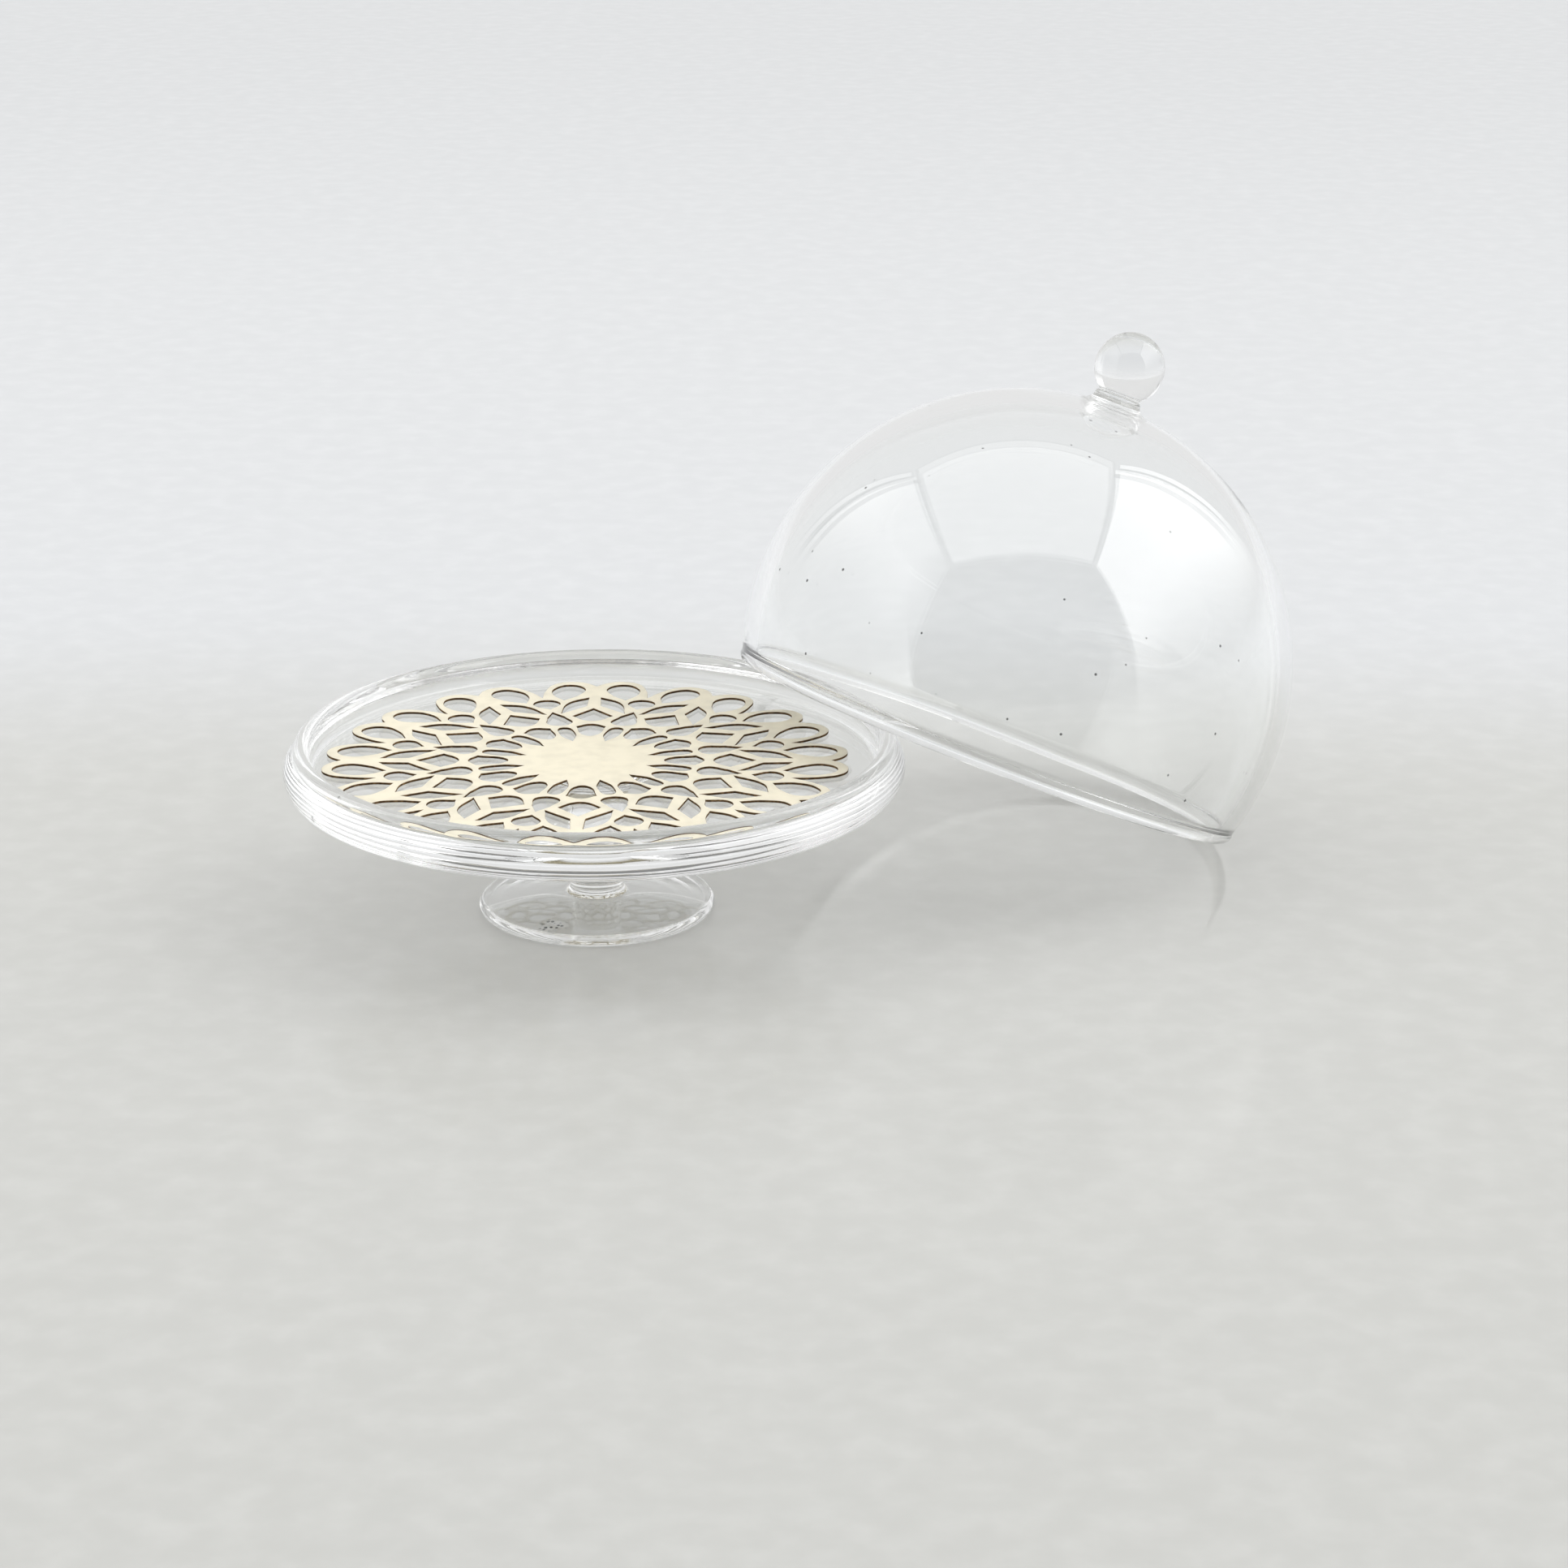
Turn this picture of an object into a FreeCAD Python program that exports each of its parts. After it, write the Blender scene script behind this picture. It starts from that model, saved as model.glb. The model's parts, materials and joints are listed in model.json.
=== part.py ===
import FreeCAD, Part
import math
import os
import Sketcher

# Miniature glass cake stand with a paper doily on its plate and its glass dome taken off.
# The dome stands on the ground beside the foot and leans on the plate's raised edge.
# Millimetres, +Z up. The origin is the centre of the foot's underside.
# Every glass piece is turned about its own upright axis. The three dome pieces are drawn
# upright above the middle of the dome's mouth, and their Placement then tips them over.

DRIVING_SIZES = {
    # foot and stem
    "foot_radius": 7.65,
    "foot_edge": 0.85,
    "foot_top": 1.3,
    "foot_dome_radius": 28.0,
    "foot_hollow": 0.66,
    "foot_hollow_flat": 1.75,
    "foot_hollow_radius": 24.0,
    "foot_ring": 0.3,
    "stem_foot_radius": 2.0,
    "stem_foot_round": 0.5,
    "stem_waist": 1.75,
    "stem_waist_low": 1.75,
    "stem_waist_high": 5.0,
    "stem_plate_radius": 3.9,
    "stem_flare_radius": 3.5,
    # plate
    "plate_radius": 20.0,
    "plate_belly": 8.15,
    "plate_belly_radius": 160.0,
    "plate_underside": 8.6,
    "plate_bulge": 9.95,
    "plate_floor": 9.95,
    "lip_outer": 19.3,
    "lip_inner": 18.27,
    "lip_shoulder": 11.05,
    "lip_inner_step": 0.1,
    "lip_roll": 0.54,
    "wall_foot_radius": 18.25,
    "floor_fillet": 0.4,
    # doily
    "doily_x": -0.55,
    "doily_y": -0.3,
    "doily_radius": 16.9,
    "doily_thickness": 0.15,
    "doily_gap": 0.05,
    "doily_band": 15.0,
    "doily_lobe": 1.9,
    "doily_slit_inner": 10.4,
    "doily_slit_outer": 14.6,
    "doily_slit_width": 1.3,
    "doily_leaf_inner": 5.2,
    "doily_leaf_outer": 8.6,
    "doily_leaf_width": 1.2,
    # dome
    "dome_radius": 18.4,
    "dome_wall": 0.95,
    "dome_middle": 6.3,
    "bead_radius": 0.6,
    "collar_radius": 1.6,
    "collar_flare": 2.4,
    "collar_sweep": 0.7,
    "collar_top": 25.35,
    "collar_edge": 0.2,
    "knob_radius": 2.43,
    "knob_seat": 1.45,
    # how the dome leans
    "lean_angle": 24.35,
    "lean_heading": 31.1,
    "dome_x": 25.5,
    "dome_y": 10.95,
}

DOILY_LOBES = 24
DOILY_LEAVES = 12


class Size:
    """A length together with the spreadsheet expression that drives it."""

    def __init__(self, value, text):
        self.value = value
        self.text = text

    def combine(self, other, sign, result):
        return Size(result, "(" + self.text + " " + sign + " " + other.text + ")")

    def __add__(self, other):
        other = as_size(other)
        return self.combine(other, "+", self.value + other.value)

    def __sub__(self, other):
        other = as_size(other)
        return self.combine(other, "-", self.value - other.value)

    def __mul__(self, other):
        other = as_size(other)
        return self.combine(other, "*", self.value * other.value)

    def __truediv__(self, other):
        other = as_size(other)
        return self.combine(other, "/", self.value / other.value)

    def root(self):
        return Size(math.sqrt(self.value), "sqrt(" + self.text + ")")


def as_size(number):
    return number if isinstance(number, Size) else Size(number, str(number))


doc = FreeCAD.newDocument("cake_stand_dome")
sheet = doc.addObject("Spreadsheet::Sheet", "sizes")
for row, (alias, number) in enumerate(DRIVING_SIZES.items(), start=1):
    sheet.set("A" + str(row), alias)
    sheet.set("B" + str(row), str(number))
    sheet.setAlias("B" + str(row), alias)
doc.recompute()


def size(alias):
    return Size(float(sheet.get(alias)), "sizes." + alias)


class Line:
    """A straight side of an outline, up to the point end."""

    def __init__(self, end):
        self.end = end


class Arc:
    """A round side of an outline, up to the point end. turn is 1 to the left and -1 to the right."""

    def __init__(self, end, radius, turn=1, major=False):
        self.end = end
        self.radius = radius
        self.turn = turn
        self.major = major

    def half_turn(self, start):
        """True for a semicircle between two corners that stand one above the other."""
        rise = abs(self.end[1].value - start[1].value)
        return rise == 2 * self.radius.value and self.end[0].text == start[0].text

    def geometry(self, start):
        x1, y1 = start[0].value, start[1].value
        x2, y2 = self.end[0].value, self.end[1].value
        chord = math.hypot(x2 - x1, y2 - y1)
        rise = math.sqrt(max(self.radius.value ** 2 - chord ** 2 / 4, 0.0))
        side = self.turn * (-1 if self.major else 1)
        centre_x = (x1 + x2) / 2 - side * rise * (y2 - y1) / chord
        centre_y = (y1 + y2) / 2 + side * rise * (x2 - x1) / chord
        first = math.atan2(y1 - centre_y, x1 - centre_x)
        last = math.atan2(y2 - centre_y, x2 - centre_x)
        if self.turn < 0:
            first, last = last, first
        centre = FreeCAD.Vector(centre_x, centre_y, 0)
        circle = Part.Circle(centre, FreeCAD.Vector(0, 0, 1), self.radius.value)
        return Part.ArcOfCircle(circle, first, last if last > first else last + 2 * math.pi)


def origin_plane(body, role):
    return [plane for plane in body.Origin.OriginFeatures if plane.Role == role][0]


def new_body(label):
    body = doc.addObject("PartDesign::Body", label)
    body.Label = label
    return body


def new_sketch(body, name, role="XZ_Plane"):
    sketch = body.newObject("Sketcher::SketchObject", name)
    sketch.AttachmentSupport = [(origin_plane(body, role), "")]
    sketch.MapMode = "FlatFace"
    return sketch


def drive(sketch, kind, references, length, name):
    """Adds a dimension to the sketch and binds it to the spreadsheet."""
    index = sketch.addConstraint(Sketcher.Constraint(kind, *references, length.value))
    sketch.renameConstraint(index, name)
    sketch.setExpression("Constraints." + name, length.text)


def place_point(sketch, reference, point, name):
    """Fixes a vertex by its two distances from the sketch's origin."""
    for kind, axis, distance in (("DistanceX", -2, point[0]), ("DistanceY", -1, point[1])):
        if distance.value == 0:
            sketch.addConstraint(Sketcher.Constraint("PointOnObject", *reference, axis))
        else:
            drive(sketch, kind, (-1, 1, *reference), distance, name + kind[-1])


def draw_outline(sketch, start, sides):
    """Draws a closed outline from its start point through all its sides."""
    ends = []
    corner = start
    for side in sides:
        if isinstance(side, Arc):
            index = sketch.addGeometry(side.geometry(corner), False)
            forward = side.turn > 0
        else:
            first = FreeCAD.Vector(corner[0].value, corner[1].value, 0)
            last = FreeCAD.Vector(side.end[0].value, side.end[1].value, 0)
            index = sketch.addGeometry(Part.LineSegment(first, last), False)
            forward = True
        ends.append(((index, 1), (index, 2)) if forward else ((index, 2), (index, 1)))
        corner = side.end
    corners = [start] + [side.end for side in sides[:-1]]
    for number, side in enumerate(sides):
        sketch.addConstraint(Sketcher.Constraint("Coincident", *ends[number - 1][1], *ends[number][0]))
        place_point(sketch, ends[number][0], corners[number], "corner%d" % number)
        if isinstance(side, Arc):
            curve = ends[number][0][0]
            if side.half_turn(corners[number]):
                drive(sketch, "DistanceX", (-1, 1, curve, 3), side.end[0], "middle%d" % number)
            else:
                drive(sketch, "Radius", (curve,), side.radius, "round%d" % number)


def revolve(body, sketch, name):
    turned = body.newObject("PartDesign::Revolution", name)
    turned.Profile = sketch
    turned.ReferenceAxis = (sketch, ["V_Axis"])
    turned.Angle = 360.0
    body.Tip = turned


def turned_body(label, start, sides):
    body = new_body(label)
    sketch = new_sketch(body, label + "_outline")
    draw_outline(sketch, start, sides)
    revolve(body, sketch, label + "_turned")
    return body


nothing = as_size(0)


def make_foot():
    radius = size("foot_radius")
    edge = size("foot_edge")
    top = size("foot_top")
    neck = size("stem_foot_radius")
    hollow = size("foot_hollow")
    ring = radius - edge / 2 - size("foot_ring")
    return turned_body("foot", (nothing, hollow), [
        Line((size("foot_hollow_flat"), hollow)),
        Arc((ring, nothing), size("foot_hollow_radius"), -1),
        Line((radius - edge / 2, nothing)),
        Arc((radius - edge / 2, edge), edge / 2),
        Arc((neck, top), size("foot_dome_radius")),
        Line((nothing, top)),
        Line((nothing, hollow)),
    ])


def make_stem():
    bottom = size("foot_top")
    waist = size("stem_waist")
    low = size("stem_waist_low")
    high = size("stem_waist_high")
    top = size("plate_belly")
    return turned_body("stem", (nothing, bottom), [
        Line((size("stem_foot_radius"), bottom)),
        Arc((waist, low), size("stem_foot_round"), -1),
        Line((waist, high)),
        Arc((size("stem_plate_radius"), top), size("stem_flare_radius"), -1),
        Line((nothing, top)),
        Line((nothing, bottom)),
    ])


def make_plate():
    belly = size("plate_belly")
    underside = size("plate_underside")
    bulge = size("plate_bulge")
    radius = size("plate_radius")
    floor = size("plate_floor")
    shoulder = size("lip_shoulder")
    outer = size("lip_outer")
    wall_foot = size("wall_foot_radius")
    fillet = size("floor_fillet")
    step = radius - outer
    rise = shoulder - bulge
    wall_curve = (step * step + rise * rise) / (step * 2)
    return turned_body("plate", (nothing, belly), [
        Line((size("stem_plate_radius"), belly)),
        Arc((radius - (bulge - underside), underside), size("plate_belly_radius")),
        Arc((radius, bulge), bulge - underside),
        Arc((outer, shoulder), wall_curve),
        Arc((size("lip_inner"), shoulder + size("lip_inner_step")), size("lip_roll"), major=True),
        Line((wall_foot, floor + fillet)),
        Arc((wall_foot - fillet, floor), fillet, -1),
        Line((nothing, floor)),
        Line((nothing, belly)),
    ])


def dome_height_at(radius, sphere):
    """How high a sphere about the dome's middle stands above the mouth, at a distance from the axis."""
    return size("dome_middle") + (sphere * sphere - radius * radius).root()


def dome_radius_at(height, sphere):
    """How far a sphere about the dome's middle is from the axis, at a height above the mouth."""
    drop = size("dome_middle") - height
    return (sphere * sphere - drop * drop).root()


def make_dome_shell():
    outside = size("dome_radius")
    inside = outside - size("dome_wall")
    bead = size("bead_radius")
    middle = size("dome_middle")
    body = turned_body("dome_shell", (dome_radius_at(bead, inside), bead), [
        Line((dome_radius_at(bead, outside), bead)),
        Arc((nothing, middle + outside), outside),
        Line((nothing, middle + inside)),
        Arc((dome_radius_at(bead, inside), bead), inside, -1),
    ])
    sketch = new_sketch(body, "bead_outline")
    centre = (dome_radius_at(bead, (inside + outside) / 2), bead)
    point = FreeCAD.Vector(centre[0].value, centre[1].value, 0)
    circle = Part.Circle(point, FreeCAD.Vector(0, 0, 1), bead.value)
    index = sketch.addGeometry(circle, False)
    place_point(sketch, (index, 3), centre, "centre")
    drive(sketch, "Radius", (index,), bead, "roll")
    revolve(body, sketch, "bead_turned")
    return body


def make_knob_collar():
    sphere = size("dome_radius")
    flare = size("collar_flare")
    radius = size("collar_radius")
    top = size("collar_top")
    edge = size("collar_edge")
    seat = dome_height_at(flare, sphere)
    neck_height = top - edge
    return turned_body("knob_collar", (nothing, size("dome_middle") + sphere), [
        Arc((flare, seat), sphere, -1),
        Arc((radius, neck_height), size("collar_sweep"), -1),
        Arc((radius - edge, top), edge),
        Line((nothing, top)),
        Line((nothing, size("dome_middle") + sphere)),
    ])


def make_knob_ball():
    radius = size("knob_radius")
    seat = size("knob_seat")
    bottom = size("collar_top")
    top = bottom + (radius * radius - seat * seat).root() + radius
    return turned_body("knob_ball", (nothing, bottom), [
        Line((seat, bottom)),
        Arc((nothing, top), radius),
        Line((nothing, bottom)),
    ])


def flat_shape(body, name, draw, feature, lift):
    """Pads or cuts a flat outline of the doily, which lies at the height lift."""
    sketch = new_sketch(body, name + "_outline", "XY_Plane")
    sketch.setExpression("AttachmentOffset.Base.z", lift.text)
    draw(sketch)
    made = body.newObject("PartDesign::" + feature, name)
    made.Profile = sketch
    made.setExpression("Length", "sizes.doily_thickness")
    if feature == "Pocket":
        made.Reversed = True
    return made


def spread(body, feature, count):
    """Repeats a feature evenly round the doily's middle."""
    pattern = body.newObject("PartDesign::PolarPattern", feature.Name + "_ring")
    pattern.Originals = [feature]
    pattern.Axis = (feature.Profile[0], ["N_Axis"])
    pattern.Angle = 360.0
    pattern.Occurrences = count
    body.Tip = pattern


def draw_disc(sketch, x, radius):
    circle = Part.Circle(FreeCAD.Vector(x.value, 0, 0), FreeCAD.Vector(0, 0, 1), radius.value)
    index = sketch.addGeometry(circle, False)
    place_point(sketch, (index, 3), (x, nothing), "centre")
    drive(sketch, "Radius", (index,), radius, "rim")


def draw_slit(sketch, inner, outer, width):
    """A round-ended slit that runs straight out from the middle."""
    half = width / 2
    low = as_size(0) - half
    draw_outline(sketch, (inner + half, low), [
        Line((outer - half, low)),
        Arc((outer - half, half), half),
        Line((inner + half, half)),
        Arc((inner + half, low), half),
    ])


def make_doily():
    body = new_body("doily")
    lift = size("plate_floor") + size("doily_gap")
    lobe = size("doily_lobe")
    disc = flat_shape(body, "doily_sheet", lambda s: draw_disc(s, nothing, size("doily_band")), "Pad", lift)
    body.Tip = disc
    lobe_pad = flat_shape(
        body, "doily_lobe", lambda s: draw_disc(s, size("doily_radius") - lobe, lobe), "Pad", lift)
    spread(body, lobe_pad, DOILY_LOBES)
    for name, inner, outer, width, count in (
            ("doily_slit", "doily_slit_inner", "doily_slit_outer", "doily_slit_width", DOILY_LOBES),
            ("doily_leaf", "doily_leaf_inner", "doily_leaf_outer", "doily_leaf_width", DOILY_LEAVES)):
        slit = flat_shape(
            body, name, lambda s: draw_slit(s, size(inner), size(outer), size(width)), "Pocket", lift)
        spread(body, slit, count)
    body.Placement.Base = FreeCAD.Vector(size("doily_x").value, size("doily_y").value, 0)
    return body


def lean(bodies):
    """Tips the dome's pieces over until the bead's lowest point is on the ground."""
    tilt = math.radians(size("lean_angle").value)
    heading = math.radians(size("lean_heading").value)
    bead = size("bead_radius")
    bead_circle = dome_radius_at(bead, size("dome_radius") - size("dome_wall") / 2).value
    height = bead_circle * math.sin(tilt) - bead.value * math.cos(tilt) + bead.value
    turn = FreeCAD.Rotation(FreeCAD.Vector(-math.sin(heading), math.cos(heading), 0), math.degrees(tilt))
    base = FreeCAD.Vector(size("dome_x").value, size("dome_y").value, height)
    for body in bodies:
        body.Placement = FreeCAD.Placement(base, turn)


stand = [make_foot(), make_stem(), make_plate()]
liner = [make_doily()]
dome = [make_dome_shell(), make_knob_collar(), make_knob_ball()]
lean(dome)
doc.recompute()

for item in doc.Objects:
    if "Invalid" in item.State or "Error" in item.State:
        raise RuntimeError(item.Label + " didn't recompute: " + ", ".join(item.State))

os.makedirs("parts", exist_ok=True)
for body in stand + liner + dome:
    shape = body.Shape
    if shape.isNull() or not shape.isValid():
        raise RuntimeError(body.Label + " has no valid shape")
    print(body.Label, "volume", round(shape.Volume, 3), "mm3, solids", len(shape.Solids))
    shape.exportStep("parts/" + body.Label + ".step")
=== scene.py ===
import json
import math

import bpy
from bpy.props import FloatProperty, FloatVectorProperty, IntProperty, PointerProperty
from mathutils import Matrix, Vector

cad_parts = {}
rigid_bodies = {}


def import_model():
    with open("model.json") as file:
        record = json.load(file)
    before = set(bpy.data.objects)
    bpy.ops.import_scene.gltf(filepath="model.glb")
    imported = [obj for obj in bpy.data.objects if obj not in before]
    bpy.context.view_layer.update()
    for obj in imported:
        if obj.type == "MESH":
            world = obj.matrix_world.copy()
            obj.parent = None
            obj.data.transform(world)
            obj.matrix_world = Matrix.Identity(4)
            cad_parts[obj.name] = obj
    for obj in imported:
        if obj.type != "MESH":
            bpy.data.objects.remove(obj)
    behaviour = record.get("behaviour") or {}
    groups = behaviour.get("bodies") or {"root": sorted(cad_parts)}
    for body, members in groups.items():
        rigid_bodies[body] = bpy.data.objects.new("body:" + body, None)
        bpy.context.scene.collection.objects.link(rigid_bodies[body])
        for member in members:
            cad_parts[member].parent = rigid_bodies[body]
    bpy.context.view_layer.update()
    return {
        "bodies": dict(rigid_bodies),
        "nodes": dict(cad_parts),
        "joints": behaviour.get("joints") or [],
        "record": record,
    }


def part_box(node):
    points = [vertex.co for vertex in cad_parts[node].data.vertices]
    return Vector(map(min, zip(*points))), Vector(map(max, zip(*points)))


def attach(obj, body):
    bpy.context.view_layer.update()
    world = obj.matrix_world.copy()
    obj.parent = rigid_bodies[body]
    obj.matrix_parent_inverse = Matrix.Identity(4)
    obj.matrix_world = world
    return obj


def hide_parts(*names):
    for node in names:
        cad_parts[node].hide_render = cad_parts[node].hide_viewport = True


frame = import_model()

bl_info = {
    "name": "Miniature glass cake stand",
    "version": (1, 0, 0),
    "blender": (4, 5, 0),
    "location": "View3D > Sidebar > Cake stand",
    "description": "Lamp-worked glass cake stand with its dome taken off and a lace-cut paper doily",
    "category": "Object",
}

MM = 0.001

# The camera stands in front of the object and looks down on it. Its tilt is in degrees below level, and
# its lens and sensor width are in millimetres.
CAMERA_PLACE = (12.16 * MM, -249.33 * MM, 93.45 * MM)
CAMERA_TILT = 18.83
CAMERA_LENS = 93.83
CAMERA_SENSOR = 36.0

FOOT_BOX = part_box("foot")
STEM_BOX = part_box("stem")
PLATE_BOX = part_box("plate")
DOILY_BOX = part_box("doily")


def length(name, description, default):
    """A size of a piece, as a property in metres."""
    return FloatProperty(
        name=name, description=description, default=default, unit="LENGTH", precision=5)


def colour(name, description, default):
    """A colour, as a property."""
    return FloatVectorProperty(
        name=name, description=description, default=default, subtype="COLOR", size=4, min=0, max=1)


class StandSizes(bpy.types.PropertyGroup):
    """Sizes of the foot, the stem and the plate."""

    foot_radius: length("Foot radius", "Widest radius of the foot", FOOT_BOX[1].x)
    foot_edge: length("Foot edge", "Height of the foot's rounded edge", 0.85 * MM)
    foot_dome: length("Foot doming", "Radius of the gentle dome on top of the foot", 28 * MM)
    foot_hollow: length("Foot hollow", "Depth of the shallow hollow under the foot", 0.66 * MM)
    foot_flat: length("Hollow flat", "Radius of the flat middle of the hollow", 1.75 * MM)
    foot_sweep: length("Hollow sweep", "Radius of the hollow's sweep down to the ring", 24 * MM)
    foot_ring: length("Foot ring", "Width of the flat ring that the foot stands on", 0.3 * MM)
    foot_neck: length("Foot neck", "Radius of the stem where it leaves the foot", 2.0 * MM)
    foot_round: length("Foot round", "Radius of the round between the foot and the stem", 0.5 * MM)
    waist: length("Waist", "Radius of the stem at its narrowest", 1.75 * MM)
    waist_low: length("Waist start", "Height where the waist begins", 1.75 * MM)
    waist_high: length("Waist end", "Height where the waist ends", 5.0 * MM)
    stem_flare: length("Stem flare", "Radius of the sweep from the waist into the plate", 3.5 * MM)
    stem_top: length("Stem top", "Radius of the stem where it meets the plate", 3.9 * MM)
    plate_radius: length("Plate radius", "Widest radius of the plate", PLATE_BOX[1].x)
    plate_belly: length("Belly", "Radius of the plate's gently rounded underside", 160 * MM)
    plate_under: length("Rim underside", "Height of the underside where the rim begins", 8.6 * MM)
    plate_bulge: length("Bulge height", "Height of the plate's widest ring", 9.95 * MM)
    plate_floor: length("Floor height", "Height of the plate's floor", 9.95 * MM)
    lip_outer: length("Lip outer radius", "Outer radius of the rolled lip", 19.3 * MM)
    lip_inner: length("Lip inner radius", "Inner radius of the rolled lip", 18.27 * MM)
    lip_shoulder: length("Lip shoulder", "Height where the rolled lip starts", 11.05 * MM)
    lip_rise: length("Lip rise", "How much higher the rolled lip starts on its inner side", 0.1 * MM)
    lip_roll: length("Lip roll", "Radius of the rolled lip's section", 0.54 * MM)
    wall_foot: length("Wall foot", "Radius at the inner foot of the raised edge", 18.25 * MM)
    floor_fillet: length("Floor fillet", "Radius between the floor and the raised edge", 0.4 * MM)
    unevenness: length("Unevenness", "How far the hand-made surfaces wander", 0.05 * MM)


class DomeSizes(bpy.types.PropertyGroup):
    """Sizes of the dome, its knob and the way it leans."""

    radius: length("Dome radius", "Outer radius of the blown ball", 18.4 * MM)
    wall: length("Wall", "Thickness of the blown wall", 0.95 * MM)
    middle: length("Middle height", "Height of the ball's centre above the dome's mouth", 6.3 * MM)
    bead: length("Bead", "Radius of the fire-polished bead at the mouth", 0.6 * MM)
    boss_radius: length("Boss radius", "Radius of the drop of glass inside the top", 2.0 * MM)
    boss_depth: length("Boss depth", "How far that drop hangs below the inner wall", 1.0 * MM)
    collar: length("Collar", "Radius of the collar under the knob", 1.6 * MM)
    collar_flare: length("Collar flare", "Radius where the collar sweeps into the dome", 2.2 * MM)
    collar_top: length("Collar top", "Height of the collar's top above the mouth", 25.35 * MM)
    collar_edge: length("Collar edge", "Radius of the collar's rounded top edge", 0.2 * MM)
    knob: length("Knob radius", "Radius of the solid knob", 2.43 * MM)
    knob_seat: length("Knob seat", "Radius where the knob meets its collar", 1.45 * MM)
    lean: FloatProperty(
        name="Lean", description="How far the dome is tipped over", default=math.radians(24.35),
        subtype="ANGLE")
    heading: FloatProperty(
        name="Heading", description="Direction that its knob leans towards", default=math.radians(31.1),
        subtype="ANGLE")
    place_x: length("Place X", "Where the middle of the mouth is, across", 25.5 * MM)
    place_y: length("Place Y", "Where the middle of the mouth is, away", 10.95 * MM)
    unevenness: length("Unevenness", "How far the hand-made surfaces wander", 0.05 * MM)


class DoilySizes(bpy.types.PropertyGroup):
    """Sizes of the paper doily."""

    radius: length("Radius", "Radius to the tips of the petals", (DOILY_BOX[1].x - DOILY_BOX[0].x) / 2)
    thickness: length("Thickness", "Thickness of the paper", 0.15 * MM)
    bevel: length("Burnt bevel", "Bevel that the laser leaves along each cut", 0.012 * MM)
    sectors: IntProperty(name="Sectors", description="How often the lace pattern repeats", default=12, min=4)


class Finishes(bpy.types.PropertyGroup):
    """Colours of the pieces and of the stage."""

    glass: colour("Glass", "Tint of the clear glass", (0.985, 0.99, 0.988, 1))
    paper: colour("Paper", "Face of the doily", (0.96, 0.91, 0.76, 1))
    scorch: colour("Scorch", "Laser-burnt edge of the doily", (0.07, 0.04, 0.018, 1))
    scorch_rim: colour("Scorched rim", "Paler burn on the bevel beside the cut", (0.45, 0.33, 0.18, 1))
    dust: colour("Dust", "Specks on and in the glass", (0.03, 0.03, 0.03, 1))
    floor_near: colour("Floor", "Floor round the object", (0.265, 0.266, 0.255, 1))
    floor_far: colour("Floor far off", "Floor behind the object", (0.305, 0.311, 0.317, 1))


# ---------------------------------------------------------------- shader nodes


class NodeSheet:
    """The nodes of one material or of the world."""

    def __init__(self, tree, keep=False):
        self.tree = tree
        if not keep:
            tree.nodes.clear()

    def add(self, kind, settings=None, sockets=None):
        """Adds a node, sets its settings first, and then fills or links its sockets."""
        node = self.tree.nodes.new(kind)
        for name, value in (settings or {}).items():
            setattr(node, name, value)
        for name, value in (sockets or {}).items():
            if isinstance(value, Value):
                self.tree.links.new(value.socket, node.inputs[name])
            else:
                node.inputs[name].default_value = value
        return node

    def value(self, node, output=0):
        return Value(self, node.outputs[output])

    def noise(self, coordinates, scale, detail=2.0, roughness=0.5):
        node = self.add("ShaderNodeTexNoise", {}, {
            "Vector": coordinates, "Scale": scale, "Detail": detail, "Roughness": roughness})
        return self.value(node)

    def mix(self, factor, first, second):
        """Mixes two colours."""
        node = self.add("ShaderNodeMix", {"data_type": "RGBA"}, {0: factor, 6: first, 7: second})
        return self.value(node, 2)

    def place(self, output="Object"):
        return self.value(self.add("ShaderNodeTexCoord"), output)


class Value:
    """A socket that can be reckoned with: each operation adds its Math node."""

    def __init__(self, sheet, socket):
        self.sheet = sheet
        self.socket = socket

    def math(self, operation, first, second=0.0):
        node = self.sheet.add("ShaderNodeMath", {"operation": operation}, {0: first, 1: second})
        return Value(self.sheet, node.outputs[0])

    def __add__(self, other):
        return self.math("ADD", self, other)

    def __sub__(self, other):
        return self.math("SUBTRACT", self, other)

    def __rsub__(self, other):
        return self.math("SUBTRACT", other, self)

    def __mul__(self, other):
        return self.math("MULTIPLY", self, other)

    def __truediv__(self, other):
        return self.math("DIVIDE", self, other)

    __radd__ = __add__
    __rmul__ = __mul__

    def above(self, other):
        return self.math("GREATER_THAN", self, other)

    def highest(self, other):
        return self.math("MAXIMUM", self, other)

    def size(self):
        return self.math("ABSOLUTE", self)

    def smooth(self, low, high):
        """Rises smoothly from 0 at low to 1 at high."""
        node = self.sheet.add("ShaderNodeMapRange", {"interpolation_type": "SMOOTHSTEP"}, {
            "Value": self, "From Min": low, "From Max": high})
        return self.sheet.value(node)

    def parts(self):
        """The X, Y and Z of a vector."""
        node = self.sheet.add("ShaderNodeSeparateXYZ", {}, {0: self})
        return [Value(self.sheet, socket) for socket in node.outputs]


def surface(name, paint, **fixed):
    """A material with one Principled shader. paint(sheet) returns what varies over its surface."""
    material = bpy.data.materials.new(name)
    material.use_nodes = True
    sheet = NodeSheet(material.node_tree)
    sockets = {key.replace("_", " "): value for key, value in fixed.items()}
    sockets.update(paint(sheet))
    shader = sheet.add("ShaderNodeBsdfPrincipled", {}, sockets)
    sheet.add("ShaderNodeOutputMaterial", {}, {"Surface": sheet.value(shader)})
    return material


def bump(sheet, height, strength, distance):
    node = sheet.add("ShaderNodeBump", {}, {"Height": height, "Strength": strength, "Distance": distance})
    return sheet.value(node)


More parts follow.
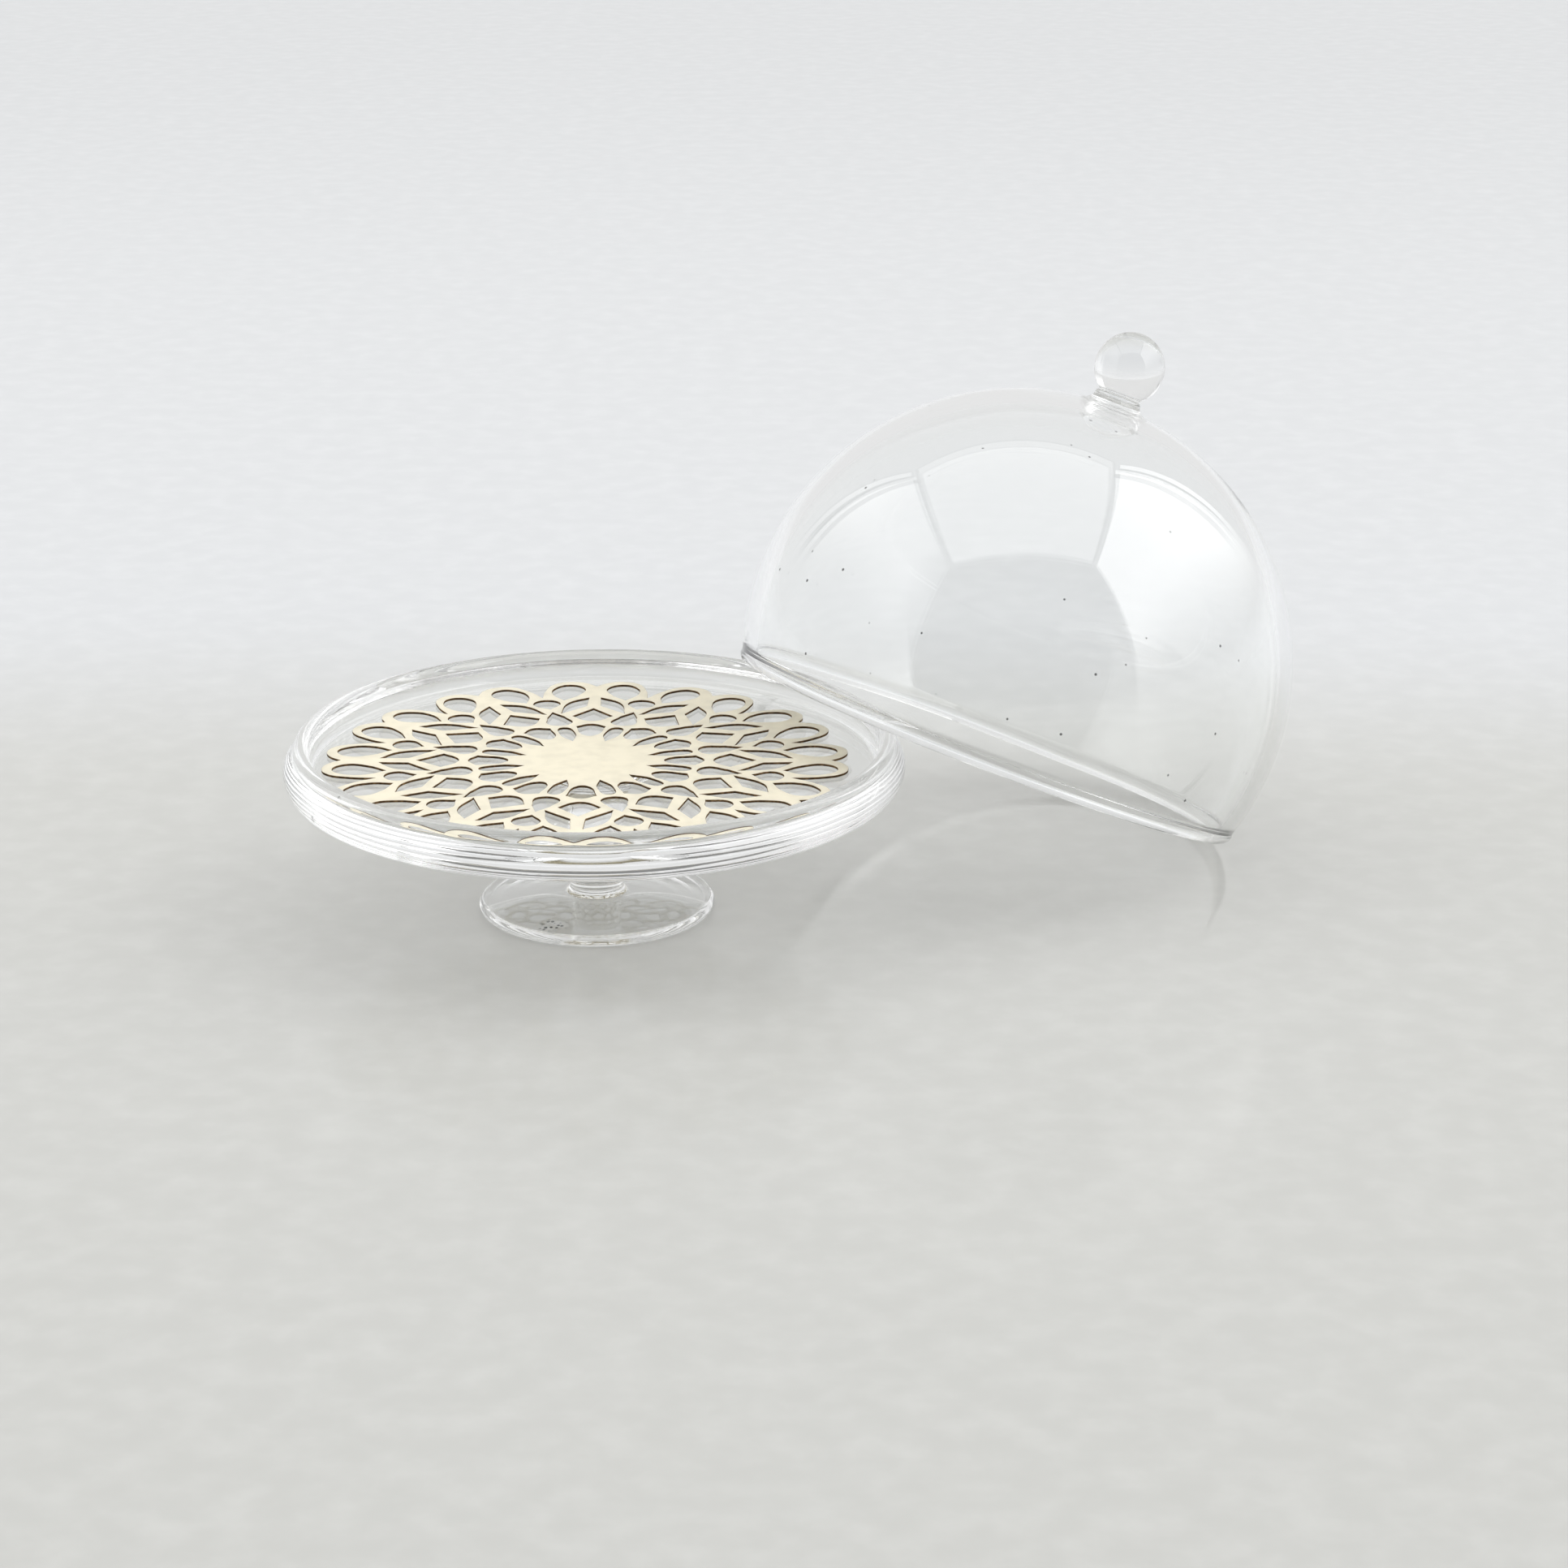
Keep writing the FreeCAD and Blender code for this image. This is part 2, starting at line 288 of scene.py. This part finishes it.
def specks(sheet, place, spacing, radius, share):
    """1 on round specks strewn at random, 0 between them. share is the part of the cells that have one."""
    cells = sheet.add("ShaderNodeTexVoronoi", {}, {"Vector": place, "Scale": 1 / spacing})
    chosen = sheet.value(cells, 1).parts()[0].above(1 - share)
    return (1 - sheet.value(cells).smooth(radius / spacing * 0.6, radius / spacing)) * chosen


def cluster(sheet, place, middle, reach):
    """1 at the middle of a small cluster of seeds, falling to 0 at its reach."""
    offset = sheet.add("ShaderNodeVectorMath", {"operation": "DISTANCE"}, {0: place, 1: middle})
    return 1 - sheet.value(offset, 1).smooth(reach * 0.4, reach)


def clear_glass(name, finishes, wave_scale, wave_depth, dirt):
    """Clear glass with the slow waves that fire-polishing leaves. dirt(sheet, place) is 1 on its specks."""
    tint = tuple(finishes.glass)
    dust = tuple(finishes.dust)

    def paint(sheet):
        place = sheet.place()
        waves = sheet.noise(place, wave_scale, 1.0)
        smears = sheet.noise(place, 900.0, 3.0)
        return {
            "Base Color": sheet.mix(dirt(sheet, place), tint, dust),
            "Normal": bump(sheet, waves, 1.0, wave_depth),
            "Roughness": smears.smooth(0.55, 0.9) * 0.02,
        }

    return surface(name, paint, IOR=1.48, Transmission_Weight=1.0)


def dome_dust(sheet, place):
    """A few loose specks of dust."""
    return specks(sheet, place, spacing=2.0 * MM, radius=0.13 * MM, share=0.25)


def stand_specks(sheet, place):
    """Dark specks, in the front of the foot and in the plate's rim."""
    bubbles = specks(sheet, place, spacing=0.32 * MM, radius=0.15 * MM, share=0.85)
    foot = cluster(sheet, place, middle=(-2.6 * MM, -6.1 * MM, 1.0 * MM), reach=1.2 * MM)
    rim = cluster(sheet, place, middle=(-16.9 * MM, -10.2 * MM, 9.7 * MM), reach=0.7 * MM)
    return bubbles * foot.highest(rim)


def doily_paper(name, shade):
    """Cream card with its fibres showing as a fine tooth and a faint mottle."""

    def paint(sheet):
        place = sheet.place()
        fibres = sheet.noise(place, 9000.0, 4.0, 0.65)
        mottle = sheet.noise(place, 900.0, 2.0)
        darker = tuple(channel * 0.9 for channel in shade[:3]) + (1,)
        return {
            "Base Color": sheet.mix(mottle.smooth(0.35, 0.75), shade, darker),
            "Roughness": 0.82 + fibres * 0.15,
            "Normal": bump(sheet, fibres, 0.5, 0.02 * MM),
        }

    material = surface(name, paint, Specular_IOR_Level=0.3)
    let_light_through(NodeSheet(material.node_tree, keep=True), shade, share=0.3)
    return material


def let_light_through(sheet, shade, share):
    """Thin paper glows with the light that falls on its other side."""
    output = sheet.tree.nodes["Material Output"]
    front = sheet.value(sheet.tree.nodes["Principled BSDF"])
    glow = sheet.value(sheet.add("ShaderNodeBsdfTranslucent", {}, {"Color": shade}))
    both = sheet.add("ShaderNodeMixShader", {}, {0: share, 1: front, 2: glow})
    sheet.tree.links.new(both.outputs[0], output.inputs["Surface"])


def scorched_edge(name, shade, strength):
    """Paper burnt brown by the laser, with uneven soot. strength is 1 on the cut and less beside it."""
    thin_soot = (0.30, 0.18, 0.08)

    def paint(sheet):
        place = sheet.place()
        soot = sheet.noise(place, 3500.0, 3.0, 0.7)
        lighter = tuple(channel + (1 - channel) * (1 - strength) for channel in thin_soot) + (1,)
        return {
            "Base Color": sheet.mix(soot.smooth(0.4, 0.75), shade, lighter),
            "Normal": bump(sheet, soot, 0.6, 0.02 * MM),
        }

    return surface(name, paint, Roughness=0.95, Specular_IOR_Level=0.2)


# ---------------------------------------------------------------- modelling

# An arc is made of at least this many steps, and no step bends by more than this.
FEWEST_STEPS = 3
WIDEST_BEND = math.radians(12)
# Points closer than this are one point.
WELD = 0.002 * MM


class Line:
    """A straight stroke of a section, to a point (radius, height)."""

    def __init__(self, end):
        self.end = end


class Arc:
    """A round stroke of a section, to a point. turn is 1 to the left and -1 to the right. A major arc goes
    the long way round."""

    def __init__(self, end, radius, turn=1, major=False):
        self.end = end
        self.radius = radius
        self.turn = turn
        self.major = major

    def centre_and_sweep(self, start):
        across = Vector(self.end) - Vector(start)
        rise = math.sqrt(max(self.radius ** 2 - across.length ** 2 / 4, 0))
        side = self.turn * (-1 if self.major else 1)
        aside = Vector((-across.y, across.x)).normalized() * rise * side
        centre = (Vector(start) + Vector(self.end)) / 2 + aside
        sweep = 2 * math.asin(min(across.length / 2 / self.radius, 1))
        return centre, 2 * math.pi - sweep if self.major else sweep


def start_piece():
    if bpy.context.object and bpy.context.object.mode != "OBJECT":
        bpy.ops.object.mode_set(mode="OBJECT")
    bpy.ops.object.select_all(action="DESELECT")


def draw_section(name, start, strokes, hold, step):
    """Draws a section in the XZ plane with one vertex that is extruded along lines and spun along arcs.
    Each line gets a holding point at both ends, hold long, so that flat faces shade flat. No step of an
    arc is longer than step."""
    start_piece()
    bpy.ops.mesh.primitive_circle_add(vertices=3, radius=hold)
    piece = bpy.context.object
    piece.name = name
    piece.data.name = name
    bpy.ops.object.mode_set(mode="EDIT")
    bpy.ops.mesh.select_all(action="SELECT")
    bpy.ops.mesh.merge(type="CENTER")
    bpy.ops.transform.translate(value=(start[0], 0, start[1]))
    here = Vector(start)
    for stroke in strokes:
        end = Vector(stroke.end)
        if isinstance(stroke, Arc):
            centre, sweep = stroke.centre_and_sweep(here)
            by_length = math.ceil(sweep * stroke.radius / step)
            by_angle = math.ceil(sweep / WIDEST_BEND)
            bpy.ops.mesh.spin(
                steps=max(FEWEST_STEPS, by_length, by_angle),
                angle=sweep, center=(centre.x, 0, centre.y), axis=(0, stroke.turn, 0))
        else:
            way = end - here
            ends = [hold, way.length - hold, way.length] if way.length > 3 * hold else [way.length]
            done = 0
            for distance in ends:
                move = way.normalized() * (distance - done)
                bpy.ops.mesh.extrude_region_move(TRANSFORM_OT_translate={"value": (move.x, 0, move.y)})
                done = distance
        here = end
    return piece


def turn_section(piece, turns):
    """Turns a drawn section about the upright axis into a closed solid."""
    bpy.ops.mesh.select_all(action="SELECT")
    bpy.ops.mesh.spin(steps=turns, angle=2 * math.pi, center=(0, 0, 0), axis=(0, 0, 1))
    bpy.ops.mesh.select_all(action="SELECT")
    bpy.ops.mesh.remove_doubles(threshold=WELD)
    bpy.ops.mesh.normals_make_consistent(inside=False)
    bpy.ops.object.mode_set(mode="OBJECT")
    bpy.ops.object.shade_smooth()
    return piece


def apply_modifier(piece, kind, **settings):
    modifier = piece.modifiers.new(kind.title(), kind)
    for name, value in settings.items():
        setattr(modifier, name, value)
    bpy.context.view_layer.objects.active = piece
    bpy.ops.object.modifier_apply(modifier=modifier.name)


def make_uneven(piece, depth, grain):
    """Lets the surfaces wander slowly, as hand-made glass does. They only move inwards, by up to depth."""
    texture = bpy.data.textures.new(piece.name + "_wander", "CLOUDS")
    texture.noise_scale = grain
    texture.noise_depth = 0
    apply_modifier(piece, "DISPLACE", texture=texture, strength=depth, mid_level=1.0, texture_coords="LOCAL")


def settle(piece, place):
    """Puts a piece where it belongs and keeps the place in its mesh."""
    piece.matrix_world = place
    bpy.ops.object.select_all(action="DESELECT")
    piece.select_set(True)
    bpy.context.view_layer.objects.active = piece
    bpy.ops.object.transform_apply(location=True, rotation=True, scale=True)


def finish_piece(piece, body, slot, nodes, *materials):
    piece.data.materials.clear()
    for material in materials:
        piece.data.materials.append(material)
    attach(piece, body)
    if nodes:
        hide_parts(*nodes)


# ---------------------------------------------------------------- pieces


class CAKESTAND_OT_stand(bpy.types.Operator):
    """Blow the foot, the stem and the plate as one piece of glass"""

    bl_idname = "cakestand.stand"
    bl_label = "Stand"

    def execute(self, context):
        s = context.scene.cake_stand
        half_edge = s.foot_edge / 2
        ring = s.foot_radius - half_edge - s.foot_ring
        corner = s.plate_bulge - s.plate_under
        inset = s.plate_radius - s.lip_outer
        rise = s.lip_shoulder - s.plate_bulge
        side_curve = (inset ** 2 + rise ** 2) / (2 * inset)
        piece = draw_section("stand_glass", (0, s.foot_hollow), [
            Line((s.foot_flat, s.foot_hollow)),
            Arc((ring, 0), s.foot_sweep, -1),
            Line((s.foot_radius - half_edge, 0)),
            Arc((s.foot_radius - half_edge, s.foot_edge), half_edge),
            Arc((s.foot_neck, FOOT_BOX[1].z), s.foot_dome),
            Arc((s.waist, s.waist_low), s.foot_round, -1),
            Line((s.waist, s.waist_high)),
            Arc((s.stem_top, STEM_BOX[1].z), s.stem_flare, -1),
            Arc((s.plate_radius - corner, s.plate_under), s.plate_belly),
            Arc((s.plate_radius, s.plate_bulge), corner),
            Arc((s.lip_outer, s.lip_shoulder), side_curve),
            Arc((s.lip_inner, s.lip_shoulder + s.lip_rise), s.lip_roll, major=True),
            Line((s.wall_foot, s.plate_floor + s.floor_fillet)),
            Arc((s.wall_foot - s.floor_fillet, s.plate_floor), s.floor_fillet, -1),
            Line((0, s.plate_floor)),
        ], hold=0.03 * MM, step=0.15 * MM)
        turn_section(piece, turns=256)
        make_uneven(piece, s.unevenness, grain=9 * MM)
        glass = clear_glass(
            "stand glass", context.scene.finishes, wave_scale=160.0, wave_depth=0.02 * MM, dirt=stand_specks)
        finish_piece(piece, "stand", "stand_glass", ["foot", "stem", "plate"], glass)
        return {"FINISHED"}


def bead_circle(sizes):
    """Radius of the circle on which the middle of the bead's round section lies."""
    return math.sqrt((sizes.radius - sizes.wall / 2) ** 2 - (sizes.middle - sizes.bead) ** 2)


def dome_place(sizes):
    """Where the dome leans: tipped over, with the bead's lowest point on the ground."""
    height = bead_circle(sizes) * math.sin(sizes.lean) - sizes.bead * math.cos(sizes.lean) + sizes.bead
    hinge = Vector((-math.sin(sizes.heading), math.cos(sizes.heading), 0))
    return Matrix.Translation((sizes.place_x, sizes.place_y, height)) @ Matrix.Rotation(sizes.lean, 4, hinge)


def wall_meets_bead(ball, sizes):
    """Where the bead's round section runs into the wall's sphere of radius ball, on the bead's upper side."""
    ball_centre = Vector((0, sizes.middle))
    apart = Vector((bead_circle(sizes), sizes.bead)) - ball_centre
    along = (ball ** 2 - sizes.bead ** 2 + apart.length ** 2) / (2 * apart.length)
    aside = math.sqrt(ball ** 2 - along ** 2)
    unit = apart.normalized()
    crossings = [ball_centre + unit * along + Vector((-unit.y, unit.x)) * aside * side for side in (1, -1)]
    return max(crossings, key=lambda point: point.y)


class CAKESTAND_OT_dome(bpy.types.Operator):
    """Blow the dome with its collar and knob as one piece of glass, and lean it on the plate"""

    bl_idname = "cakestand.dome"
    bl_label = "Dome"

    def execute(self, context):
        s = context.scene.cake_dome
        inside = s.radius - s.wall
        inner = wall_meets_bead(inside, s)
        outer = wall_meets_bead(s.radius, s)
        boss_edge = (s.boss_radius, s.middle + math.sqrt(inside ** 2 - s.boss_radius ** 2))
        boss_curve = (s.boss_radius ** 2 + s.boss_depth ** 2) / (2 * s.boss_depth)
        seat = s.middle + math.sqrt(s.radius ** 2 - s.collar_flare ** 2)
        neck = s.collar_top - s.collar_edge
        collar_curve = (neck - seat) * 1.15
        knob_top = s.collar_top + math.sqrt(s.knob ** 2 - s.knob_seat ** 2) + s.knob
        piece = draw_section("dome_glass", (0, boss_edge[1] - s.boss_depth), [
            Arc(boss_edge, boss_curve),
            Arc(inner, inside, -1),
            Arc(outer, s.bead, major=True),
            Arc((s.collar_flare, seat), s.radius),
            Arc((s.collar, neck), collar_curve, -1),
            Arc((s.collar - s.collar_edge, s.collar_top), s.collar_edge),
            Arc((0, knob_top), s.knob),
        ], hold=0.03 * MM, step=0.3 * MM)
        turn_section(piece, turns=200)
        make_uneven(piece, s.unevenness, grain=11 * MM)
        settle(piece, dome_place(s))
        glass = clear_glass(
            "dome glass", context.scene.finishes, wave_scale=120.0, wave_depth=0.02 * MM, dirt=dome_dust)
        finish_piece(piece, "dome", "dome_glass", ["dome_shell", "knob_collar", "knob_ball"], glass)
        return {"FINISHED"}


def polar(radius, degrees):
    return Vector((radius * math.cos(math.radians(degrees)), radius * math.sin(math.radians(degrees))))


class LacePattern:
    """A flat drawing of closed loops, each given once for one sector and repeated in all of them. Its border
    is given for half a sector and mirrored."""

    def __init__(self, name, sectors):
        self.curve = bpy.data.curves.new(name, "CURVE")
        self.curve.dimensions = "2D"
        self.curve.fill_mode = "BOTH"
        self.curve.resolution_u = 6
        self.pitch = 360 / sectors
        self.sectors = sectors

    def cut(self, points):
        """Adds one closed loop. points are (radius, angle in degrees, sharp)."""
        spline = self.curve.splines.new("BEZIER")
        spline.use_cyclic_u = True
        spline.bezier_points.add(len(points) - 1)
        for knot, (radius, degrees, sharp) in zip(spline.bezier_points, points):
            knot.co = polar(radius, degrees).to_3d()
            knot.handle_left_type = knot.handle_right_type = "VECTOR" if sharp else "AUTO"

    def ring(self, points, mirrored=False):
        """Repeats a loop in each sector, and its mirror image as well if mirrored."""
        for sector in range(self.sectors):
            middle = sector * self.pitch
            self.cut([(radius, middle + degrees, sharp) for radius, degrees, sharp in points])
            if mirrored:
                self.cut([(radius, middle - degrees, sharp) for radius, degrees, sharp in reversed(points)])

    def border(self, half_sector):
        """One loop round everything, from half a sector's points between its middle and its edge."""
        points = []
        for sector in range(self.sectors):
            middle = sector * self.pitch
            points += [(radius, middle - degrees, sharp) for radius, degrees, sharp in reversed(half_sector)]
            points += [(radius, middle + degrees, sharp) for radius, degrees, sharp in half_sector[1:-1]]
        self.cut(points)


class CAKESTAND_OT_doily(bpy.types.Operator):
    """Cut the lace doily out of card and lay it on the plate"""

    bl_idname = "cakestand.doily"
    bl_label = "Doily"

    def execute(self, context):
        s = context.scene.cake_doily
        tip = s.radius
        lace = LacePattern("doily_lace", s.sectors)
        lace.border([
            (tip - 1.15 * MM, 0, True), (tip - 0.35 * MM, 2.6, False), (tip, 6.0, False),
            (tip - 0.3 * MM, 9.6, False), (tip - 1.6 * MM, 12.7, False), (tip - 3.3 * MM, 15, True)])
        lace.ring([
            (tip - 0.62 * MM, 6.5, False), (tip - 1.25 * MM, 10.3, False), (tip - 2.65 * MM, 11.7, False),
            (tip - 4.1 * MM, 9.3, True), (tip - 3.0 * MM, 4.5, False),
            (tip - 1.5 * MM, 2.9, False)], mirrored=True)
        lace.ring([
            (9.95 * MM, 12.4, True), (11.4 * MM, 2.3, True),
            (13.35 * MM, 1.6, True), (12.3 * MM, 8.0, False)], mirrored=True)
        lace.ring([
            (11.0 * MM, 15, True), (12.35 * MM, 10.7, False),
            (13.15 * MM, 15, False), (12.35 * MM, 19.3, False)])
        lace.ring([
            (10.95 * MM, 0, True), (9.35 * MM, 8.4, True), (8.25 * MM, 2.4, False),
            (8.25 * MM, -2.4, False), (9.35 * MM, -8.4, True)])
        lace.ring([
            (10.45 * MM, 15, True), (9.35 * MM, 11.4, True), (7.75 * MM, 9.8, False),
            (7.75 * MM, 20.2, False), (9.35 * MM, 18.6, True)])
        lace.ring([
            (7.6 * MM, 0, False), (7.1 * MM, 8.0, True), (5.1 * MM, 3.2, False),
            (5.1 * MM, -3.2, False), (7.1 * MM, -8.0, True)])
        lace.ring([
            (7.05 * MM, 15, False), (5.6 * MM, 20.4, False),
            (4.0 * MM, 15, True), (5.6 * MM, 9.6, False)])
        lace.curve.bevel_depth = s.bevel
        lace.curve.bevel_resolution = 0
        lace.curve.extrude = s.thickness / 2 - lace.curve.bevel_depth
        drawing = bpy.data.objects.new("doily_lace", lace.curve)
        context.collection.objects.link(drawing)
        start_piece()
        drawing.select_set(True)
        context.view_layer.objects.active = drawing
        bpy.ops.object.convert(target="MESH")
        piece = context.object
        settle(piece, Matrix.Translation((DOILY_BOX[0] + DOILY_BOX[1]) / 2))
        finishes = context.scene.finishes
        finish_piece(
            piece, "doily", "doily_paper", ["doily"],
            doily_paper("doily paper", tuple(finishes.paper)),
            scorched_edge("scorched edge", tuple(finishes.scorch), strength=1.0),
            scorched_edge("scorched rim", tuple(finishes.scorch_rim), strength=0.6))
        flat, cut, bevel = range(3)
        for face in piece.data.polygons:
            level = abs(face.normal.z)
            face.material_index = cut if level < 0.3 else bevel if level < 0.95 else flat
        return {"FINISHED"}


# ---------------------------------------------------------------- stage


def light_panel(across, along, half_width, half_height, middle):
    """Two values: 1 on a lit panel of a wall and 0 off it, and 0.3 on the panel's thin frame and 1 off it."""
    edge = (across.size() / half_width).highest((along - middle).size() / half_height)
    lit = 1 - edge.smooth(0.96, 1.04)
    frame = (1 - (edge - 1.0).size().smooth(0.005, 0.035)) * 0.7
    return lit, 1 - frame


def light_tent(world):
    """A light tent round the object: a lit panel in each side wall and in the roof, a soft back and an
    open, dim front. Each direction is followed to the wall that it meets first. The tent's height is 1."""
    side_reach, back_reach, front_reach = 0.60, 0.66, 0.55
    wall_light, back_light, front_light, roof_light = 0.80, 0.80, 0.22, 0.85
    left_panel_light, right_panel_extra, roof_panel_light = 1.3, 1.2, 0.9
    pole_place, pole_half_width, pole_edge, pole_darkness = 0.53, 0.02, 0.04, 0.95
    tie = 0.0001

    world.use_nodes = True
    sheet = NodeSheet(world.node_tree)
    x, y, z = sheet.place("Generated").parts()
    side = x.size() / side_reach
    depth = (y / back_reach).highest(y / -front_reach)
    nearest = side.highest(depth).highest(z)
    on_side = side.above(nearest - tie)
    on_roof = z.above(nearest - tie) * (1 - on_side)
    on_depth = (1 - on_side) * (1 - on_roof)
    on_back = on_depth * y.above(0)
    on_front = on_depth - on_back

    side_panel, side_frame = light_panel(
        y / nearest - 0.05, z / nearest, half_width=0.58, half_height=0.49, middle=0.50)
    roof_panel, roof_frame = light_panel(
        x / nearest, y / nearest, half_width=0.57, half_height=0.57, middle=0.05)
    right = x.above(0)
    # The side panels dim towards the ground, the right one closer to it. The left one also dims towards
    # the front.
    rise = (z / nearest + right * 0.14).smooth(0.12, 0.62)
    depth_fall = (y / nearest + right).smooth(-0.6, -0.1)
    panel_light = left_panel_light + right * right_panel_extra
    side_light = wall_light + side_panel * rise * depth_fall * panel_light

    # A dark pole stands near the back of each side wall. It and the frame fade out near the ground.
    pole = 1 - (y / nearest - pole_place).size().smooth(pole_half_width, pole_edge)
    dark = (1 - side_frame).highest(pole * pole_darkness) * (z / nearest).smooth(0.1, 0.3)

    light = (on_side * side_light * (1 - dark)
             + on_roof * (roof_light + roof_panel * roof_panel_light) * roof_frame
             + on_back * back_light + on_front * front_light)
    background = sheet.add("ShaderNodeBackground", {}, {"Color": (1, 1, 1, 1), "Strength": light})
    sheet.add("ShaderNodeOutputWorld", {}, {"Surface": sheet.value(background)})


def pale_glowing_floor(near, far):
    """A smooth pale board, paler behind the object and then slowly darker towards the back. It glows
    with its own colour, a painted glow that keeps the shadows on it faint."""

    def paint(sheet):
        place = sheet.place()
        x, y, _ = place.parts()
        grain = sheet.noise(place, 400.0, 3.0)
        distance = y + x.size() * 0.1
        shade = sheet.mix(distance.smooth(25 * MM, 75 * MM), near, far)
        shade = sheet.mix(distance.smooth(60 * MM, 450 * MM) * 0.22, shade, (0, 0, 0, 1))
        return {
            "Base Color": sheet.mix(grain.smooth(0.3, 0.9) * 0.06, shade, (1, 1, 1, 1)),
            # The board glows with its own colour: painted light that keeps the shadows on it faint.
            "Emission Color": shade,
            "Roughness": 0.12 + grain * 0.04,
        }

    return surface("pale floor", paint, Specular_IOR_Level=0.2, Emission_Strength=1.0)


class CAKESTAND_OT_stage(bpy.types.Operator):
    """Set up the floor, the light tent and the camera"""

    bl_idname = "cakestand.stage"
    bl_label = "Stage"

    def execute(self, context):
        scene = context.scene
        finishes = scene.finishes
        start_piece()
        floor_radius, floor_gap = 6.0, 0.02 * MM
        bpy.ops.mesh.primitive_circle_add(
            vertices=64, radius=floor_radius, fill_type="TRIFAN", location=(0, 0, -floor_gap))
        floor = context.object
        floor.name = "studio_floor"
        bpy.ops.object.transform_apply(location=True, rotation=True, scale=True)
        floor.data.materials.append(pale_glowing_floor(tuple(finishes.floor_near), tuple(finishes.floor_far)))

        scene.world = scene.world or bpy.data.worlds.new("studio")
        light_tent(scene.world)

        lens = bpy.data.cameras.new("studio_camera")
        lens.sensor_width = CAMERA_SENSOR
        lens.lens = CAMERA_LENS
        lens.clip_start = 10 * MM
        camera = bpy.data.objects.new("studio_camera", lens)
        camera.location = CAMERA_PLACE
        camera.rotation_euler = (math.radians(90 - CAMERA_TILT), 0, 0)
        scene.collection.objects.link(camera)
        scene.camera = camera
        scene.view_settings.view_transform = "Standard"
        # Light runs a long way inside solid glass before it comes out.
        bounces = 32
        scene.cycles.max_bounces = bounces
        scene.cycles.glossy_bounces = bounces
        scene.cycles.transmission_bounces = bounces
        return {"FINISHED"}


# ---------------------------------------------------------------- add-on


STEPS = (CAKESTAND_OT_stand, CAKESTAND_OT_dome, CAKESTAND_OT_doily, CAKESTAND_OT_stage)
GROUPS = (
    ("cake_stand", StandSizes), ("cake_dome", DomeSizes), ("cake_doily", DoilySizes), ("finishes", Finishes))


class CAKESTAND_PT_panel(bpy.types.Panel):
    """Sizes, colours and steps of the cake stand"""

    bl_idname = "CAKESTAND_PT_panel"
    bl_label = "Cake stand"
    bl_space_type = "VIEW_3D"
    bl_region_type = "UI"
    bl_category = "Cake stand"

    def draw(self, context):
        for attribute, group in GROUPS:
            box = self.layout.box()
            for name in group.__annotations__:
                box.prop(getattr(context.scene, attribute), name)
        for step in STEPS:
            self.layout.operator(step.bl_idname)


def register():
    for _, group in GROUPS:
        bpy.utils.register_class(group)
    for step in STEPS:
        bpy.utils.register_class(step)
    bpy.utils.register_class(CAKESTAND_PT_panel)
    for attribute, group in GROUPS:
        setattr(bpy.types.Scene, attribute, PointerProperty(type=group))


def unregister():
    for attribute, _ in GROUPS:
        delattr(bpy.types.Scene, attribute)
    bpy.utils.unregister_class(CAKESTAND_PT_panel)
    for step in reversed(STEPS):
        bpy.utils.unregister_class(step)
    for _, group in reversed(GROUPS):
        bpy.utils.unregister_class(group)


def main():
    register()
    bpy.ops.cakestand.stand()
    bpy.ops.cakestand.dome()
    bpy.ops.cakestand.doily()
    bpy.ops.cakestand.stage()


if __name__ == "__main__":
    main()
